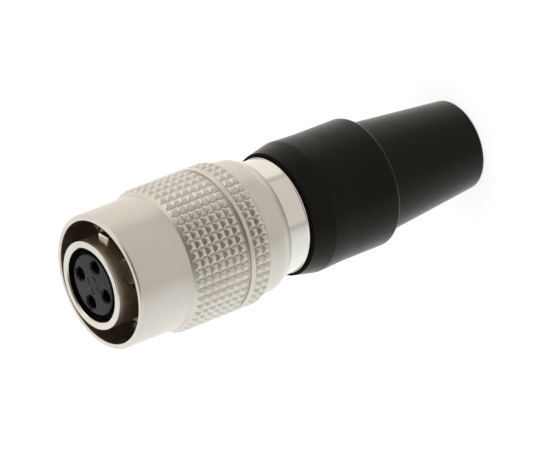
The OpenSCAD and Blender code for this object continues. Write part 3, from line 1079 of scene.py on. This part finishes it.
@dataclass
class Studio:
    """A white tent with soft light, a pale floor and the camera."""

    elevation: float = 32.3
    turn: float = 111.3
    distance: float = 450.0
    lens: float = 409.5
    slide: tuple[float, float] = (-0.55, -0.855)
    target_z: float = 16.9
    tent_white: float = 1.0
    tent_front: float = 0.80
    tent_seam: float = 0.55
    warm: Colour = (1.0, 0.965, 0.93)
    cool: Colour = (0.98, 1.04, 1.02)
    back: Colour = (1.0, 0.98, 0.97)
    dark_way: tuple[float, float, float] = (0.0, -0.67, 0.74)
    dark_reach: tuple[float, float] = (0.55, 0.85)
    dark_level: float = 0.25
    floor_half: float = 400.0
    floor_matt: float = 0.30
    floor_glow: float = 0.76
    lamps: tuple[tuple[str, tuple[float, float, float], float, float], ...] = (
        ("key_lamp", (260.0, -120.0, 260.0), 280.0, 0.12),
        ("fill_lamp", (-260.0, -200.0, 160.0), 280.0, 0.08),
    )

    def camera(self) -> None:
        """Sets the camera over the plug's front, rolled so that the mating face looks down to the left."""
        tilt, roll = math.radians(self.elevation), math.radians(self.turn)
        away = Vector((0.0, -math.cos(tilt), math.sin(tilt)))
        up = Vector((0.0, math.sin(tilt), math.cos(tilt)))
        side = Vector((1.0, 0.0, 0.0))
        right = math.cos(roll) * side + math.cos(roll + math.pi / 2) * up
        top = math.sin(roll) * side + math.sin(roll + math.pi / 2) * up
        data = bpy.data.cameras.new("camera")
        data.lens, data.sensor_width = self.lens, 36.0
        data.clip_start, data.clip_end = 0.01, 10.0
        eye = bpy.data.objects.new("camera", data)
        bpy.context.scene.collection.objects.link(eye)
        facing = Matrix((right, top, away)).transposed().to_4x4()
        target = Vector((0.0, 0.0, self.target_z * MM)) + (self.slide[0] * right + self.slide[1] * top) * MM
        eye.matrix_world = Matrix.Translation(target + away * self.distance * MM) @ facing
        bpy.context.scene.camera = eye

    def tent(self) -> None:
        """A white world for the eye, which metal sees as a tent with a darker front and two seams."""
        world = bpy.data.worlds.new("tent")
        bpy.context.scene.world = world
        world.use_nodes = True
        tree = world.node_tree
        tree.nodes.clear()
        link = tree.links.new
        place = add(tree, "TexCoord")
        parts = add(tree, "SeparateXYZ")
        link(place.outputs["Generated"], parts.inputs[0])
        back = add(tree, "Math", operation="MULTIPLY")
        back.inputs[1].default_value = -1.0
        link(parts.outputs["Y"], back.inputs[0])
        angle = add(tree, "Math", operation="ARCTAN2")
        link(parts.outputs["X"], angle.inputs[0])
        link(back.outputs[0], angle.inputs[1])
        share = add(tree, "MapRange")
        share.inputs["From Min"].default_value = -math.pi
        share.inputs["From Max"].default_value = math.pi
        link(angle.outputs[0], share.inputs["Value"])
        ramp = add(tree, "ValToRGB")
        self.fill_ramp(ramp.color_ramp)
        link(share.outputs["Result"], ramp.inputs[0])
        toward = add(tree, "VectorMath", operation="DOT_PRODUCT")
        toward.inputs[1].default_value = self.dark_way
        link(place.outputs["Generated"], toward.inputs[0])
        patch = add(tree, "MapRange", interpolation_type="SMOOTHSTEP")
        limits = (*self.dark_reach, 1.0, self.dark_level)
        for label, value in zip(("From Min", "From Max", "To Min", "To Max"), limits):
            patch.inputs[label].default_value = value
        link(toward.outputs["Value"], patch.inputs["Value"])
        seen = add(tree, "Background")
        link(patch.outputs["Result"], seen.inputs["Strength"])
        link(ramp.outputs["Color"], seen.inputs["Color"])
        plain = add(tree, "Background")
        plain.inputs["Color"].default_value = (1.0, 1.0, 1.0, 1.0)
        plain.inputs["Strength"].default_value = self.tent_white
        ray, choose, out = add(tree, "LightPath"), add(tree, "MixShader"), add(tree, "OutputWorld")
        link(ray.outputs["Is Glossy Ray"], choose.inputs[0])
        link(plain.outputs[0], choose.inputs[1])
        link(seen.outputs[0], choose.inputs[2])
        link(choose.outputs[0], out.inputs["Surface"])

    def fill_ramp(self, ramp: bpy.types.ColorRamp) -> None:
        """Sets the tent's brightness by direction, from the back round by the front to the back again.

        Args:
            ramp: The ramp that is filled.
        """
        front, seam, warm, cool, back = self.tent_front, self.tent_seam, self.warm, self.cool, self.back
        stops = [
            (-180.0, 1.25, back), (-110.0, 1.17, cool), (-90.0, 1.07, cool), (-60.0, 0.93, cool),
            (-44.0, 0.80, warm), (-36.0, seam, warm), (-30.0, front, warm), (0.0, front * 0.97, warm),
            (60.0, front, warm), (66.0, seam, warm), (74.0, 1.08, warm), (120.0, 1.15, warm),
            (180.0, 1.25, back),
        ]
        for extra in list(ramp.elements)[1:]:
            ramp.elements.remove(extra)
        for i, (angle, level, tint) in enumerate(stops):
            place = (angle + 180.0) / 360.0
            element = ramp.elements[0] if i == 0 else ramp.elements.new(place)
            element.position = place
            element.color = (*(level * part for part in tint), 1.0)

    def floor(self) -> None:
        """A pale floor that the eye sees as white, and that keeps the plug's soft shadow."""
        half = self.floor_half * MM
        corners = [(-half, -half, 0.0), (half, -half, 0.0), (half, half, 0.0), (-half, half, 0.0)]
        piece = finished_mesh("floor", corners, [(0, 1, 2, 3)])
        made = bpy.data.materials.new("pale_floor")
        made.use_nodes = True
        tree = made.node_tree
        tree.nodes.clear()
        link = tree.links.new
        ray, out = add(tree, "LightPath"), add(tree, "OutputMaterial")
        matt = add(tree, "BsdfDiffuse")
        matt.inputs["Color"].default_value = (self.floor_matt, self.floor_matt, self.floor_matt, 1.0)
        glow = add(tree, "Emission")
        glow.inputs["Strength"].default_value = self.floor_glow
        lit, clear, choose = add(tree, "AddShader"), add(tree, "BsdfTransparent"), add(tree, "MixShader")
        link(matt.outputs[0], lit.inputs[0])
        link(glow.outputs[0], lit.inputs[1])
        link(ray.outputs["Is Camera Ray"], choose.inputs[0])
        link(clear.outputs[0], choose.inputs[1])
        link(lit.outputs[0], choose.inputs[2])
        link(choose.outputs[0], out.inputs["Surface"])
        piece.data.materials.append(made)

    def lamp(self, name: str, place: Sequence[float], size: float, power: float) -> None:
        """Hangs one soft round lamp that looks at the plug.

        Args:
            name: The lamp's name.
            place: Where it hangs, in millimetres.
            size: Its width in millimetres.
            power: Its power in watts.
        """
        data = bpy.data.lights.new(name, "AREA")
        data.shape, data.size, data.energy = "DISK", size * MM, power
        hung = bpy.data.objects.new(name, data)
        hung.location = Vector(place) * MM
        aim = Vector((0.0, 0.0, self.target_z * MM)) - hung.location
        hung.rotation_euler = aim.to_track_quat("-Z", "Y").to_euler()
        bpy.context.scene.collection.objects.link(hung)

    def build(self) -> None:
        """Sets up the tent, the floor, the lamps and the camera."""
        self.camera()
        self.tent()
        self.floor()
        for lamp in self.lamps:
            self.lamp(*lamp)
        bpy.context.scene.view_settings.view_transform = "Standard"


def main() -> None:
    """Builds the connector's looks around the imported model."""
    logging.basicConfig(level=logging.INFO, format="%(name)s: %(message)s")
    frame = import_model()
    Studio().build()
    Sleeve().build()
    Nose().build()
    ContactFace().build()
    BrightBody().build()
    Boot().build()
    CoilSpring().build()
    InnerParts().build(frame["nodes"])


if __name__ == "__main__":
    main()
